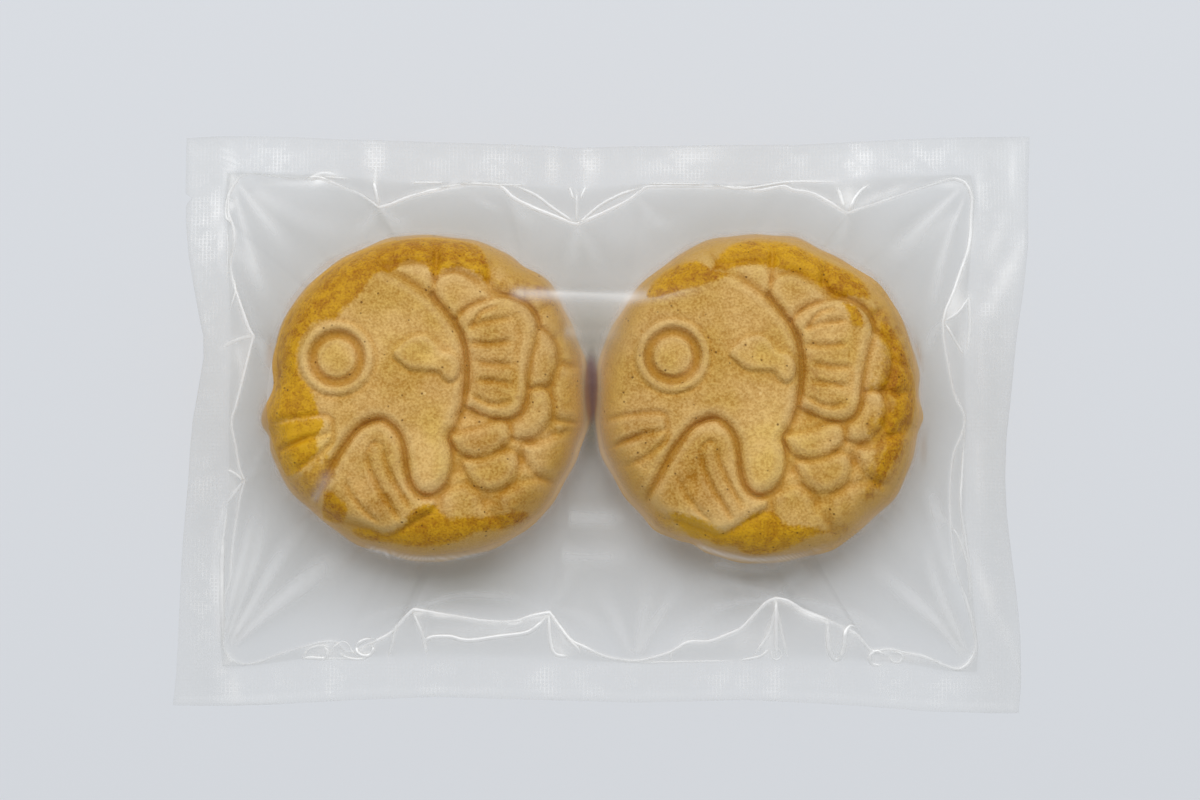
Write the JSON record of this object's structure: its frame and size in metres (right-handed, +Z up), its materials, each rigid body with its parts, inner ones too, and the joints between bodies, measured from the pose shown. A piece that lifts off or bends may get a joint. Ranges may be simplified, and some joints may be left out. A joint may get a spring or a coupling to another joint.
{
  "type": "vacuum-packed taiyaki",
  "caption": "Two round fish-relief filled cakes sealed under vacuum in one clear flat film pouch with a welded band round all four sides.",
  "frame": {"origin": "centre of the pouch's outline on the plane it rests on", "axes": "+X along the pouch's length, from the fish's mouth towards its tail, +Y towards the fish's back, +Z up, away from the surface it lies on"},
  "size_m": [0.2, 0.135, 0.0261],
  "materials": {
    "clear_film": "clear gloss film, finely embossed in the welded band",
    "baked_cake": "matt golden baked batter, darker and oily where the film clings"
  },
  "bodies": {
    "root": {"pouch": "clear_film"}
  },
  "joints": []
}
